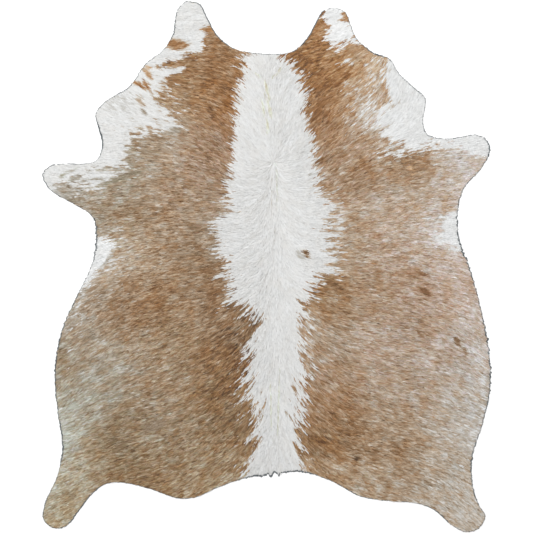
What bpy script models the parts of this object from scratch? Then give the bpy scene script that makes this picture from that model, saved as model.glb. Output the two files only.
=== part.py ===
"""A cowhide rug lying flat with its hair up, at its real size in metres.

The rug is one hide, so it is one closed solid: flat on the floor underneath, cut to the hide's
outline, and rounded along its rim, where the hair lies over the cut edge of the leather. X runs
across the hide, Y along the spine towards the neck and Z up. The origin is on the floor, at the
middle of the box around the outline.
"""
from math import exp, hypot, radians, sin

import bmesh
import bpy
from mathutils import Vector
from mathutils.geometry import delaunay_2d_cdt, interpolate_bezier
from mathutils.kdtree import KDTree

LEATHER = 0.0022            # thickness of the tanned skin
HAIR = 0.0032               # depth of the hair that lies flat on it
SPINE_RISE = 0.0010         # thicker skin and longer hair along the back
SPINE_REACH = 0.17          # how far that rise runs out to either side
SPINE_ACROSS = 0.02         # the spine lies a little right of the middle
THIN_LEG = 0.0008           # how much thinner the hide is out at its legs
LEG_REACH = 0.95            # distance from the middle where it is that thin
OUTLINE_STEP = 0.034        # spacing of the points along the rim
LEAST_STEPS = 3             # points on the shortest stretch between two landmarks
TOP_GRID = 0.055            # spacing of the points on the hair side
RIM_CLEARANCE = 0.030       # how far those points keep from the rim
GRID_SLANT = radians(60)    # that grid's rows are staggered into even triangles
NEAR = 1e-6                 # points nearer than this are one point
SMOOTH_ANGLE = radians(50)  # edges sharper than this stay sharp

# Landmarks around the cut edge, clockwise from the left ear: metres across, metres along the spine.
OUTLINE = {
    "left ear": [
        (-0.325, 1.065), (-0.295, 1.065), (-0.265, 1.055), (-0.240, 1.010), (-0.195, 0.930),
    ],
    "neck": [
        (-0.125, 0.875), (-0.050, 0.860), (0.030, 0.855), (0.105, 0.865), (0.160, 0.915),
        (0.195, 0.975),
    ],
    "right ear": [
        (0.225, 1.025), (0.275, 1.040), (0.320, 1.020), (0.340, 0.970), (0.365, 0.915),
    ],
    "right shoulder": [
        (0.425, 0.865), (0.495, 0.835), (0.535, 0.775), (0.595, 0.720), (0.640, 0.675),
        (0.630, 0.590), (0.645, 0.535),
    ],
    "right foreleg": [
        (0.705, 0.515), (0.770, 0.520), (0.835, 0.530), (0.880, 0.515), (0.900, 0.470),
        (0.865, 0.395), (0.795, 0.315),
    ],
    "right flank": [
        (0.770, 0.215), (0.780, 0.095), (0.820, -0.010), (0.865, -0.175), (0.895, -0.330),
        (0.900, -0.500), (0.870, -0.630), (0.830, -0.760),
    ],
    "right hind leg": [
        (0.830, -0.870), (0.855, -0.955), (0.880, -1.000), (0.855, -1.050), (0.800, -1.065),
        (0.740, -1.035), (0.670, -0.975),
    ],
    "right rump": [
        (0.600, -0.950), (0.480, -0.940), (0.370, -0.920), (0.270, -0.865), (0.170, -0.830),
    ],
    "tail": [
        (0.095, -0.825), (0.010, -0.840), (-0.085, -0.850),
    ],
    "left rump": [
        (-0.200, -0.890), (-0.280, -0.925), (-0.355, -0.930), (-0.445, -0.900), (-0.555, -0.870),
        (-0.635, -0.870),
    ],
    "left hind leg": [
        (-0.690, -0.905), (-0.750, -0.980), (-0.800, -1.040), (-0.850, -1.050), (-0.895, -1.015),
        (-0.890, -0.950), (-0.840, -0.840), (-0.820, -0.730),
    ],
    "left flank": [
        (-0.840, -0.570), (-0.850, -0.425), (-0.825, -0.265), (-0.770, -0.135), (-0.705, 0.000),
        (-0.685, 0.110), (-0.700, 0.200),
    ],
    "left foreleg": [
        (-0.780, 0.255), (-0.865, 0.305), (-0.900, 0.365), (-0.870, 0.405), (-0.805, 0.415),
        (-0.725, 0.415), (-0.680, 0.430),
    ],
    "left shoulder": [
        (-0.660, 0.485), (-0.675, 0.555), (-0.685, 0.615), (-0.645, 0.665), (-0.550, 0.725),
        (-0.485, 0.815), (-0.410, 0.875), (-0.375, 0.940), (-0.360, 1.025),
    ],
}

# Rings up the rounded rim: how far in from the outline, and the share of the hide's depth there.
RIM = [
    {"ring": "cut edge on the floor", "inset": 0.005, "share": 0.0},
    {"ring": "hair hanging over the edge", "inset": 0.0, "share": 0.40},
    {"ring": "crown of the hair", "inset": 0.012, "share": 0.90},
]

# Soft rises and hollows of the hide as it lies: middle of each, its reach and its height.
SWELLS = [
    {"place": "neck", "across": -0.16, "along": 0.72, "reach": 0.16, "rise": 0.0007},
    {"place": "right neck", "across": 0.22, "along": 0.76, "reach": 0.13, "rise": 0.0005},
    {"place": "left shoulder blade", "across": -0.36, "along": 0.36, "reach": 0.20, "rise": 0.0006},
    {"place": "right shoulder blade", "across": 0.42, "along": 0.30, "reach": 0.22, "rise": 0.0006},
    {"place": "left loin", "across": -0.34, "along": -0.10, "reach": 0.18, "rise": -0.0005},
    {"place": "right loin", "across": 0.40, "along": -0.14, "reach": 0.20, "rise": -0.0005},
    {"place": "left haunch", "across": -0.42, "along": -0.50, "reach": 0.24, "rise": 0.0007},
    {"place": "right haunch", "across": 0.46, "along": -0.52, "reach": 0.24, "rise": 0.0007},
    {"place": "left flank", "across": -0.70, "along": -0.34, "reach": 0.14, "rise": -0.0005},
    {"place": "right flank", "across": 0.74, "along": -0.30, "reach": 0.14, "rise": -0.0005},
]


def clear_scene():
    """Remove whatever the file opened with."""
    for thing in list(bpy.data.objects):
        bpy.data.objects.remove(thing)


def landmark_slope(before, here, after):
    """Direction and speed of the rim at one landmark, from the two beside it."""
    come = (here - before).length ** 0.5
    go = (after - here).length ** 0.5
    return (here - before) / come - (after - before) / (come + go) + (after - here) / go


def smooth_outline():
    """Points of the cut edge, on one smooth closed curve through all the landmarks."""
    marks = [Vector((*mark, 0.0)) for section in OUTLINE.values() for mark in section]
    count = len(marks)
    rim = []
    for i, start in enumerate(marks):
        end = marks[(i + 1) % count]
        reach = (end - start).length ** 0.5 / 3
        leave = start + reach * landmark_slope(marks[i - 1], start, end)
        arrive = end - reach * landmark_slope(start, end, marks[(i + 2) % count])
        steps = max(LEAST_STEPS, round((end - start).length / OUTLINE_STEP))
        rim += interpolate_bezier(start, leave, arrive, end, steps + 1)[:-1]
    low = Vector((min(p.x for p in rim), min(p.y for p in rim), 0.0))
    high = Vector((max(p.x for p in rim), max(p.y for p in rim), 0.0))
    return [p - (low + high) / 2 for p in rim]


def inset_ring(rim, inset):
    """The outline moved inwards. It runs clockwise, so its inner side is on the right."""
    ring = []
    for i, point in enumerate(rim):
        along = (rim[(i + 1) % len(rim)] - rim[i - 1]).normalized()
        ring.append(point + inset * Vector((along.y, -along.x, 0.0)))
    return ring


def depth_at(across, along):
    """Thickness of skin and hair together at one place on the hide."""
    depth = LEATHER + HAIR
    depth += SPINE_RISE * exp(-((across - SPINE_ACROSS) / SPINE_REACH) ** 2)
    depth -= THIN_LEG * min(1.0, hypot(across, along) / LEG_REACH) ** 2
    for swell in SWELLS:
        away = hypot(across - swell["across"], along - swell["along"]) / swell["reach"]
        depth += swell["rise"] * exp(-away ** 2)
    return depth


def is_inside(ring, across, along):
    """Whether a place lies within a closed ring of points."""
    inside = False
    for i, point in enumerate(ring):
        last = ring[i - 1]
        if (point.y > along) != (last.y > along):
            crossing = last.x + (along - last.y) * (point.x - last.x) / (point.y - last.y)
            if across < crossing:
                inside = not inside
    return inside


def grid_within(ring):
    """A staggered grid of points inside a ring, clear of its edge."""
    edge = KDTree(len(ring))
    for i, point in enumerate(ring):
        edge.insert(point.to_2d().to_3d(), i)
    edge.balance()
    row_height = TOP_GRID * sin(GRID_SLANT)
    rows = int(max(p.y for p in ring) / row_height)
    columns = int(max(p.x for p in ring) / TOP_GRID) + 1
    points = []
    for row in range(-rows, rows + 1):
        for column in range(-columns, columns + 1):
            place = Vector((TOP_GRID * (column + 0.5 * (row % 2)), row_height * row, 0.0))
            if edge.find(place)[2] > RIM_CLEARANCE and is_inside(ring, place.x, place.y):
                points.append(place)
    return points


def fill_top(mesh, crown):
    """Close the solid over the crown of its rim, with the soft rises and hollows of the hair."""
    ring = [vert.co.copy() for vert in crown]
    flat = [p.to_2d() for p in ring + grid_within(ring)]
    edges = [(i, (i + 1) % len(ring)) for i in range(len(ring))]
    places, _, triangles, sources, _, _ = delaunay_2d_cdt(flat, edges, [], 1, NEAR)
    verts = []
    for place, source in zip(places, sources):
        if source and source[0] < len(ring):
            verts.append(crown[source[0]])
        else:
            verts.append(mesh.verts.new((place.x, place.y, depth_at(place.x, place.y))))
    for triangle in triangles:
        mesh.faces.new([verts[i] for i in triangle])


def build_hide():
    """The whole rug: the flat underside, the rounded rim and the soft top of the hair."""
    rim = smooth_outline()
    mesh = bmesh.new()
    rings = []
    for row in RIM:
        ring = inset_ring(rim, row["inset"])
        rings.append([
            mesh.verts.new((p.x, p.y, row["share"] * depth_at(p.x, p.y))) for p in ring
        ])
    for lower, upper in zip(rings, rings[1:]):
        for i, corner in enumerate(lower):
            j = (i + 1) % len(lower)
            mesh.faces.new((corner, upper[i], upper[j], lower[j]))
    mesh.faces.new(rings[0])
    fill_top(mesh, rings[-1])
    bmesh.ops.recalc_face_normals(mesh, faces=mesh.faces)
    bmesh.ops.triangulate(mesh, faces=mesh.faces)
    data = bpy.data.meshes.new("hide")
    mesh.to_mesh(data)
    mesh.free()
    data.shade_smooth()
    data.set_sharp_from_angle(angle=SMOOTH_ANGLE)
    hide = bpy.data.objects.new("hide", data)
    bpy.context.collection.objects.link(hide)
    return hide


def hair_material():
    """Tan cow hair with a soft, low sheen."""
    material = bpy.data.materials.new("tan hair")
    material.use_nodes = True
    shader = material.node_tree.nodes["Principled BSDF"]
    shader.inputs["Base Color"].default_value = (0.39, 0.22, 0.13, 1.0)
    shader.inputs["Roughness"].default_value = 0.75
    shader.inputs["Metallic"].default_value = 0.0
    return material


clear_scene()
build_hide().data.materials.append(hair_material())
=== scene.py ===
"""Looks of the cowhide rug: one tanned skin with its short coat, laid flat, seen from straight above.

The skin is a thin closed sheet cut to the outline of the CAD solid. The coat is made of locks of
hair laid by Geometry Nodes. Each lock gets its direction and its tone from the coat's pattern, which
the tables below describe: metres across the hide, metres along the spine, and tones where 0 is white
and 1 is the darkest brown.
"""

from math import cos, pi, radians, sin

import bmesh
import bpy
import numpy as np
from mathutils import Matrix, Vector
from mathutils.geometry import delaunay_2d_cdt
from mathutils.kdtree import KDTree


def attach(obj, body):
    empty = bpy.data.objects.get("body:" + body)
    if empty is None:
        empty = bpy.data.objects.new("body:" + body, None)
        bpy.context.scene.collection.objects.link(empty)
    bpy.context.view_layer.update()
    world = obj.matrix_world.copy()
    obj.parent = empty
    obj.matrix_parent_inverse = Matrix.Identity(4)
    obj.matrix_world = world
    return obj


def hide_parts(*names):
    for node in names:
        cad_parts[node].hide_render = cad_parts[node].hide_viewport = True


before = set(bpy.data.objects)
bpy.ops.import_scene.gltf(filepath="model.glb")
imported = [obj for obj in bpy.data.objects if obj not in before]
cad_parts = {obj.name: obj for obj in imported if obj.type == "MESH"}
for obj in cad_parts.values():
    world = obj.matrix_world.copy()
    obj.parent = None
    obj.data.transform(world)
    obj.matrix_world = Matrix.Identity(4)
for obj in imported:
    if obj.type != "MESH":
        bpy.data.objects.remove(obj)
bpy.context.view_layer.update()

# Everything below is in metres, and angles are in degrees where no other unit is named.
SKIN_NODE = "hide"          # the CAD node that the skin is dressed over
LEATHER = 0.0022            # thickness of the tanned skin

# The cut edge.
SAME_POINT = 1e-6           # points nearer than this are one point
NOT_ZERO = 1e-5             # least length that is divided by
LEVEL = 1e-4                # a face turned up or down by less than this counts as upright
CURVE_STEPS = 16            # points on the curve between two points of the CAD outline
RIM_STEP = 0.003            # spacing of the points along the cut edge
RIM_NICKS = 0.0009          # unevenness of the knife's cut
NICK_MEAN = 1.5             # average depth of the cut, as a multiple of that
NICK_LEAST = 0.5            # what is added to a stretch's roughness for it
NICK_MOST = 1.5             # and the most that this makes
RIM_BURRS = 0.0024          # how far its burrs stick out
BURR_CELL = 0.0060          # spacing of the burrs
BURR_FLOOR = 0.1            # how much of the burrs' noise is lost in the cut
BURR_PEAK = 1.2             # the tallest burr
REVEAL_BURRS = 0.0008       # unevenness of the hair's end along the edge
REVEAL = (0.0003, 0.0090)   # least and most leather that shows beyond the hair
TAIL_ALONG = -0.6           # the edge's dents lie beyond this place along the spine

# The skin's rim, from the floor up: how far in from the cut edge, how high, and the material of the
# band up to there. The last ring also keeps clear of where the hair ends.
SUEDE, EDGE, ROOTS = 0, 1, 2
RINGS = [
    {"inset": 0.0030, "height": 0.0, "material": SUEDE},
    {"inset": 0.0004, "height": 0.0004, "material": SUEDE},
    {"inset": 0.0, "height": 0.0012, "material": EDGE},
    {"inset": 0.0007, "height": 0.0020, "material": EDGE},
    {"inset": 0.0045, "height": LEATHER, "material": EDGE},
]
ROOTS_INSET = 0.0015        # how far under the hair the leather's edge band runs
TOP_STEP = 0.009            # grid of the skin under the hair
TOP_CLEARANCE = 0.0140      # how far that grid keeps from the cut edge
UNDER_STEP = 0.022          # grid of the suede side
UNDER_CLEARANCE = 0.018
GRID_HALF = (0.95, 1.10)    # half the grids' width and length
GRID_SLANT = radians(60)    # the grids' rows are staggered into even triangles

# The locks of hair.
COAT_STEP = 0.00335         # one lock stands in each square of this size
COAT_HALF = (0.93, 1.09)    # half the width and length of that grid
COAT_PARTS = ("neck", "shoulders", "flanks", "rump")
LOCK_SEED = 2107
LOCK_LENGTH = 0.025
LOCK_WIDTH = 0.0031
LENGTHS = (0.72, 1.2)       # shortest and longest lock, as a share of that length
WIDTHS = (0.75, 1.2)        # the same for the width
THIN_LENGTH = 0.016         # locks shorter than this are narrower as well
THINNEST = 0.55
RISE = (3.5, 8.5)           # how steeply the locks rise
LEAST_LIFT = 0.0009         # how high the tip of the shortest lock is
ROLL = 22                   # how far a lock may be rolled to either side
SWERVE = 9.0                # how far locks swerve from the hair's line, each by itself
SWERVE_TOGETHER = 5.0       # and together with their neighbours
ROOT_DEPTH = 0.0003         # the deepest root, inside the skin
ROOT_HEIGHT = 0.0011        # the highest root, on the locks below it
ROOT_CLEARANCE = 0.0012     # how far roots keep from where the leather shows
SHORT_RIM = 0.38            # how much shorter the hair is at the edge
SHORT_REACH = 0.05          # how far in it is shorter
TIP_REACH = 0.06            # locks rooted nearer than this to the edge are fitted to it
TIP_FRINGE = 0.0016         # how unevenly their tips end
SHORTEST = 0.12             # the shortest such lock, as a share of its length
MIDDLE = 0.6                # the place along a lock whose tone it takes
LOCK_SHAPES = [
    {"lock": "straight", "belly": 0.0, "tip": 0.0},
    {"lock": "swept right", "belly": 0.25, "tip": 0.28},
    {"lock": "swept left", "belly": -0.25, "tip": -0.28},
]
ROOT_HALF = 0.32            # half the width of a lock at its root
BELLY_AHEAD = 0.52          # where it is widest, along its length
BELLY_UP = 0.95             # how high it is there

# The locks' tones in the UV map, and the strands in their material.
UV_MARGIN = 0.004           # bare border of the UV map
CASTS = 3                   # strips of the map from bottom to top: rosy, plain and olive
CAST_MARGIN = 0.04          # bare border of each strip
CAST_TINT = (-0.030, 0.040, -0.045)
TIP_AND_ROOT_SHADE_SPAN = 0.05            # how much paler a lock's tip is than its root: the hair's paler tips, and painted shade at its roots
STRAND_SPAN = 0.012         # how much of the map's height lies across one lock
STRANDS_ACROSS = 200.0      # strands from the bottom to the top of the map
STRAND_CONTRAST = 0.05

# Other parts of the materials. A grain is a noise over the hide: its scale, detail and roughness.
HAIR_ROUGHNESS = 0.56
STRAND_ROUGHNESS = 0.05     # how much rougher the crown of each strand is
ROOTS_GRAIN = (320.0, 3.0, 0.5)
ROOTS_CONTRAST = 0.30
ROOTS_BRIGHTNESS = 0.68     # where that grain is darkest
NAP_GRAIN = (420.0, 4.0, 0.5)
NAP_CONTRAST = 0.45
NAP_DEPTH = 0.0006
BRUSHED_GRAIN = (5.0, 5.0, 0.5)
SUEDE_COLOURS = [(0.45, (134, 134, 132)), (0.95, (186, 184, 178))]
# Colours of the cut edge: the tanned leather's slate grey. Its darkest stretches are also painted
# shadow along the rim.
EDGE_AND_SHADOW_GRAIN = (22.0, 6.0, 0.7)
EDGE_AND_SHADOW_COLOURS = [(0.36, (46, 53, 58)), (0.66, (116, 122, 124))]
FIBRE_GRAIN = (900.0, 3.0, 0.5)
FIBRE_DEPTH = 0.0003
FLOOR_GRAIN = (0.8, 2.0, 0.5)
FLOOR_SHADES = (0.93, 0.95)

# Camera, light and floor.
CAMERA_HEIGHT = 8.022
LENS = 135.0                # millimetres
SENSOR = 36.0               # millimetres
VIEW_END = 60.0
LIGHTS = [
    {"light": "key", "at": (-1.9, 2.6, 4.2), "size": 2.2, "power": 190.0},
    {"light": "fill", "at": (2.6, -1.6, 4.6), "size": 3.5, "power": 60.0},
]
SKY = 0.62
FLOOR_SIZE = 40.0
FLOOR_DROP = 0.0005         # how far the floor lies under the suede


def rows_of(names, rows):
    """A table as one dictionary for each row, with the named columns."""
    return [dict(zip(names.split(), row)) for row in rows]


# Smooth random values over the hide: their seeds and cells, and how far and in how many steps each
# is smeared along the hair, which turns its grains into strands.
NOISES = rows_of("noise seed cell smear steps", [
    ("broad", 11, 0.060, 0.0, 0),
    ("mottle", 12, 0.022, 0.0, 0),
    ("wedge", 13, 0.0085, 0.034, 9),
    ("strand", 14, 0.0040, 0.012, 7),
    ("wisp", 15, 0.0030, 0.030, 15),
    ("speck", 16, 0.0045, 0.007, 5),
    ("tuft", 17, 0.0135, 0.040, 7),
    ("blotch", 18, 0.0095, 0.009, 5),
    ("glint", 19, 0.0040, 0.012, 5),
    ("patch", 20, 0.036, 0.0, 0),
])
BURR_SEED = 21
FIELD_HALF = (1.2, 1.35)    # half the width and length that the random values cover

# What those values add to the brown's depth and warmth, to the paleness of the white, to how far the
# hair carries a white border, to how strands stray over it, and to the mix of white and brown hairs.
DEPTH_GRAIN = {
    "broad": 0.022, "patch": 0.022, "mottle": 0.032, "wedge": 0.016, "strand": 0.050, "speck": 0.052,
}
WARMTH_GRAIN = {"patch": 0.05, "mottle": 0.07, "glint": 0.05}
PALE_GRAIN = {"strand": 0.009, "wedge": 0.012}
CARRY_GRAIN = {"tuft": 0.38, "wedge": 0.52, "wisp": 0.76}
WEAVE_GRAIN = {"wisp": 0.7, "wedge": 0.5}
MIX_GRAIN = {"blotch": 0.10, "speck": 0.10, "wisp": 0.13}

# What each lock's own chance adds to the same.
LOCK_DEPTH = 0.074
LOCK_SKEW = 0.2             # how much more often that makes a lock much darker than much paler
LOCK_WARMTH = 0.07
LOCK_PALE = 0.010
LOCK_STRAY = 0.004
LOCK_MIX = 0.07
LOCK_MARK = 0.12            # and to the edge of a single mark

GRAIN_BASE = 0.62           # strength of the grain in the palest brown
GRAIN_GAIN = 0.75           # how much stronger it is in the darkest
GRAIN_RANGE = (0.8, 1.3)    # least and most of that strength
MARK_MIDDLE = 1.6           # a single mark is full where 1 or more is left of this
MARK_FALL = 1.1             # after this fall from its middle to its edge
MARK_FRAY = 0.18            # how much strands fray that edge
MARK_GRAIN = 0.05           # grain of a mark's own tone
MIX_WIDTH = 0.42            # how gradually white gives way to brown where they mix
ALL_BROWN = 0.02            # below this share of white, no hair is white
ALL_WHITE = 0.985           # above this share, no hair is brown
PLAIN_PALE = 0.10           # tone of the white hairs that lie far out from every white part
FAR_OUT = -9.0              # how far that is, in widths of a part's soft border
WHITE_WARMTH = 0.04         # warmth of the white
MOTTLE_WARMTH = 0.03        # and how much that varies
TONE_REACH = 0.075          # how far one place's tone spreads before the next takes over
FAR_WEIGHT = 1e-4           # how much of a tone reaches places that no other tone is near

# The line of the spine, from the nape to the tail: places along it and how far across it lies.
SPINE = rows_of("along across", [
    (-0.85, 0.036), (-0.40, 0.036), (0.00, 0.030), (0.30, 0.028), (0.60, 0.022), (0.86, -0.008),
])
SPINE_BLEND = 0.035         # width over which the hair of both sides meets

# Hair directions: degrees of the hair's line on the hide's right and left, at six distances out
# from the spine. Hair grows outwards from the spine, along that line.
FLOW_OUT = {"spine": 0.0, "ridge": 0.055, "back": 0.15, "rib": 0.32, "flank": 0.52, "belly": 0.80}
FLOW_RIGHT = rows_of("along spine ridge back rib flank belly", [
    (0.90, 70, 40, 12, 22, 50, 60),
    (0.70, 84, 66, 34, 33, 66, 70),
    (0.60, 88, 66, 46, 36, 50, 45),
    (0.50, 88, 56, 42, 34, 18, 4),
    (0.45, 60, 36, 38, 30, 14, 4),
    (0.39, -80, 12, 36, 26, 10, 5),
    (0.33, -86, 4, 28, 21, 8, 5),
    (0.26, -88, -42, 4, 14, 8, 4),
    (0.20, -88, -48, -3, 10, 8, 2),
    (0.10, -88, -50, -6, 4, 0, -18),
    (0.00, -88, -48, -10, 1, -5, -17),
    (-0.10, -88, -54, -18, -2, -9, -16),
    (-0.20, -88, -62, -34, -8, -9, -24),
    (-0.35, -88, -66, -40, -14, -9, -30),
    (-0.50, -88, -66, -44, -22, -10, -30),
    (-0.70, -88, -66, -40, -11, -14, -20),
    (-0.95, -88, -64, -38, -20, -18, -42),
])
FLOW_LEFT = rows_of("along spine ridge back rib flank belly", [
    (0.90, -70, -40, -4, 6, -10, -20),
    (0.70, -84, -62, -24, -5, -36, -45),
    (0.60, -88, -60, -34, -12, -20, -24),
    (0.50, -88, -50, -36, -16, -4, -4),
    (0.45, -60, -38, -36, -14, -2, -2),
    (0.39, 80, -8, -38, -10, 0, 1),
    (0.33, 86, 14, -20, -5, 3, 3),
    (0.26, 88, 44, -2, 2, 6, 6),
    (0.20, 88, 50, -4, 4, 7, 8),
    (0.10, 88, 44, 8, 5, 10, 14),
    (0.00, 88, 48, 12, 8, 13, 24),
    (-0.10, 88, 58, 20, 11, 15, 34),
    (-0.20, 88, 64, 34, 18, 19, 32),
    (-0.35, 88, 66, 40, 24, 22, 30),
    (-0.50, 88, 66, 40, 23, 16, 35),
    (-0.70, 88, 64, 38, 27, 17, 20),
    (-0.95, 88, 62, 38, 24, 14, 26),
])

# White parts of the coat, as closed rings of landmarks (across, along).
# Ragged says how far the hair carries the border to and fro, woven how far strands stray over it
# sideways, and soft how wide its blend is.
BLAZE_LEFT = [
    (-0.052, 0.900), (-0.052, 0.858), (-0.088, 0.826), (-0.096, 0.766), (-0.120, 0.706),
    (-0.118, 0.666), (-0.124, 0.626), (-0.140, 0.586), (-0.132, 0.546), (-0.126, 0.465),
    (-0.140, 0.405), (-0.144, 0.345), (-0.160, 0.305), (-0.176, 0.265), (-0.140, 0.225),
    (-0.204, 0.190), (-0.200, 0.160), (-0.204, 0.104), (-0.218, 0.068), (-0.172, 0.044),
    (-0.148, 0.012), (-0.164, -0.036), (-0.144, -0.076), (-0.152, -0.116), (-0.156, -0.140),
    (-0.080, -0.180), (-0.006, -0.217), (-0.060, -0.277), (-0.080, -0.337), (-0.060, -0.397),
    (-0.088, -0.449), (-0.068, -0.497), (-0.102, -0.537), (-0.060, -0.558), (-0.030, -0.618),
    (-0.042, -0.650), (-0.056, -0.682), (-0.032, -0.698), (-0.050, -0.746), (-0.088, -0.786),
    (-0.100, -0.830), (-0.092, -0.900),
]
BLAZE_RIGHT = [
    (0.054, 0.900), (0.052, 0.846), (0.098, 0.818), (0.126, 0.778), (0.147, 0.746),
    (0.152, 0.714), (0.166, 0.678), (0.158, 0.646), (0.160, 0.614), (0.174, 0.586),
    (0.174, 0.546), (0.186, 0.497), (0.193, 0.445), (0.201, 0.385), (0.217, 0.365),
    (0.205, 0.325), (0.225, 0.285), (0.261, 0.245), (0.263, 0.205), (0.243, 0.152),
    (0.259, 0.104), (0.276, 0.072), (0.273, 0.016), (0.255, -0.022), (0.211, -0.066),
    (0.194, -0.104), (0.164, -0.150), (0.136, -0.209), (0.142, -0.290), (0.148, -0.337),
    (0.160, -0.377), (0.168, -0.425), (0.168, -0.457), (0.148, -0.477), (0.153, -0.537),
    (0.138, -0.586), (0.122, -0.618), (0.136, -0.658), (0.124, -0.738), (0.136, -0.778),
    (0.156, -0.802), (0.156, -0.900),
]
WHITES = [
    {"place": "blaze", "pale": 0.125, "ragged": 0.024, "soft": 0.022, "woven": 0.003,
     "ring": BLAZE_LEFT[::-1] + BLAZE_RIGHT},
    # This white is toned greyer than the whites on the right: painted shade, which holds back the
    # stronger key light on the left.
    {"place": "left ear and shoulder", "pale": 0.126, "ragged": 0.032, "soft": 0.018, "woven": 0.009,
     "ring": [
        (-0.410, 1.100), (-0.205, 1.100), (-0.190, 0.990), (-0.222, 0.968), (-0.258, 0.958),
        (-0.236, 0.938), (-0.254, 0.907), (-0.248, 0.883), (-0.265, 0.858), (-0.289, 0.850),
        (-0.337, 0.850), (-0.349, 0.834), (-0.385, 0.822), (-0.425, 0.814), (-0.417, 0.798),
        (-0.385, 0.790), (-0.329, 0.796), (-0.377, 0.774), (-0.393, 0.758), (-0.385, 0.738),
        (-0.393, 0.714), (-0.413, 0.694), (-0.433, 0.678), (-0.409, 0.650), (-0.393, 0.626),
        (-0.369, 0.594), (-0.345, 0.570), (-0.329, 0.553), (-0.393, 0.543), (-0.465, 0.532),
        (-0.545, 0.519), (-0.564, 0.501), (-0.570, 0.465), (-0.576, 0.433), (-0.574, 0.413),
        (-0.618, 0.401), (-0.674, 0.393), (-0.722, 0.377), (-0.780, 0.355), (-0.830, 0.330),
        (-0.850, 0.305), (-0.900, 0.270), (-0.990, 0.270), (-0.990, 0.480), (-0.760, 0.480),
        (-0.740, 0.700), (-0.560, 0.850),
    ]},
    {"place": "left waist", "pale": 0.080, "ragged": 0.010, "soft": 0.020, "woven": 0.009,
     "ring": [
        (-0.740, 0.116), (-0.640, 0.116), (-0.598, 0.104), (-0.610, 0.076), (-0.626, 0.052),
        (-0.642, 0.024), (-0.666, -0.008), (-0.698, -0.048), (-0.722, -0.088), (-0.746, -0.104),
        (-0.800, -0.090), (-0.780, 0.000),
    ]},
    {"place": "right ear", "pale": 0.060, "ragged": 0.022, "soft": 0.012, "woven": 0.005,
     "ring": [
        (0.205, 1.090), (0.300, 1.090), (0.350, 1.030), (0.350, 0.955), (0.361, 0.915),
        (0.377, 0.891), (0.365, 0.883), (0.349, 0.903), (0.309, 0.899), (0.301, 0.879),
        (0.281, 0.863), (0.261, 0.867), (0.269, 0.891), (0.249, 0.899), (0.233, 0.915),
        (0.245, 0.935), (0.232, 0.951), (0.252, 0.963), (0.245, 0.983), (0.232, 1.003),
        (0.216, 1.040),
    ]},
    {"place": "right shoulder", "pale": 0.076, "ragged": 0.036, "soft": 0.036, "woven": 0.008,
     "ring": [
        (0.473, 0.866), (0.487, 0.826), (0.470, 0.802), (0.466, 0.774), (0.476, 0.746),
        (0.484, 0.698), (0.486, 0.658), (0.470, 0.642), (0.450, 0.622), (0.440, 0.582),
        (0.447, 0.550), (0.470, 0.528), (0.505, 0.510), (0.541, 0.501), (0.557, 0.477),
        (0.594, 0.465), (0.638, 0.469), (0.698, 0.481), (0.762, 0.485), (0.810, 0.464),
        (0.850, 0.442), (0.890, 0.432), (0.960, 0.430), (0.960, 0.580), (0.700, 0.800),
    ]},
    {"place": "right waist", "pale": 0.085, "ragged": 0.018, "soft": 0.035, "woven": 0.009,
     "ring": [
        (0.780, 0.240), (0.746, 0.221), (0.718, 0.205), (0.702, 0.176), (0.694, 0.144),
        (0.702, 0.106), (0.738, 0.070), (0.770, 0.060), (0.820, 0.056), (0.820, 0.240),
    ]},
]

# The longer the hair, the further it carries those borders: share of it along the hide.
RAGGED = rows_of("along share", [(-0.45, 1.1), (-0.10, 1.0), (0.12, 0.7), (0.42, 0.42), (1.00, 0.45)])

# Soft places where white and brown hairs mix: how much more of the hair there is white, or less
# of it where the share is negative.
ROANS = rows_of("place across along wide long white", [
    ("left foreleg", -0.73, 0.335, 0.09, 0.040, 0.52),
    ("left elbow", -0.60, 0.378, 0.08, 0.026, 0.42),
    ("left knee, pale", -0.68, 0.365, 0.05, 0.020, 0.30),
    ("left shoulder", -0.54, 0.490, 0.06, 0.032, 0.44),
    ("left withers", -0.41, 0.530, 0.05, 0.020, 0.34),
    ("brown in the left throat", -0.38, 0.600, 0.06, 0.045, -0.28),
    ("brown in the left shoulder", -0.51, 0.535, 0.05, 0.026, -0.34),
    ("left throat", -0.36, 0.630, 0.05, 0.025, 0.22),
    ("cream in the left cheek", -0.415, 0.700, 0.035, 0.045, -0.42),
    ("left cheek, below", -0.37, 0.700, 0.02, 0.040, 0.30),
    ("left ear root", -0.33, 0.825, 0.05, 0.020, 0.16),
    ("left armpit", -0.62, 0.130, 0.05, 0.040, 0.30),
    ("left waist", -0.640, 0.000, 0.045, 0.045, 0.34),
    ("left flank", -0.75, -0.150, 0.04, 0.090, 0.34),
    ("left thigh", -0.83, -0.640, 0.04, 0.130, 0.22),
    ("right withers", 0.418, 0.608, 0.05, 0.060, 0.45),
    ("right neck", 0.325, 0.815, 0.03, 0.018, 0.40),
    ("right throat", 0.375, 0.680, 0.04, 0.040, 0.30),
    ("right jaw", 0.44, 0.790, 0.03, 0.050, 0.36),
    ("brown in the right throat", 0.450, 0.600, 0.03, 0.060, -0.18),
    ("right shoulder", 0.53, 0.460, 0.06, 0.030, 0.36),
    ("brown in the right shoulder", 0.610, 0.482, 0.08, 0.016, -0.22),
    ("right shoulder, inner", 0.500, 0.480, 0.05, 0.040, 0.24),
    ("right foreleg", 0.78, 0.445, 0.09, 0.026, 0.34),
    ("right armpit", 0.70, 0.170, 0.06, 0.060, 0.30),
    ("right of the blaze", 0.285, 0.130, 0.030, 0.110, 0.50),
    ("left of the blaze, low", -0.100, -0.400, 0.022, 0.130, 0.28),
    ("right of the blaze, loin", 0.165, -0.260, 0.025, 0.070, 0.34),
    ("right of the blaze, low", 0.180, -0.420, 0.020, 0.120, 0.20),
    ("right belly", 0.87, -0.420, 0.04, 0.130, 0.26),
    ("right thigh", 0.87, -0.640, 0.06, 0.100, 0.28),
])

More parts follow.
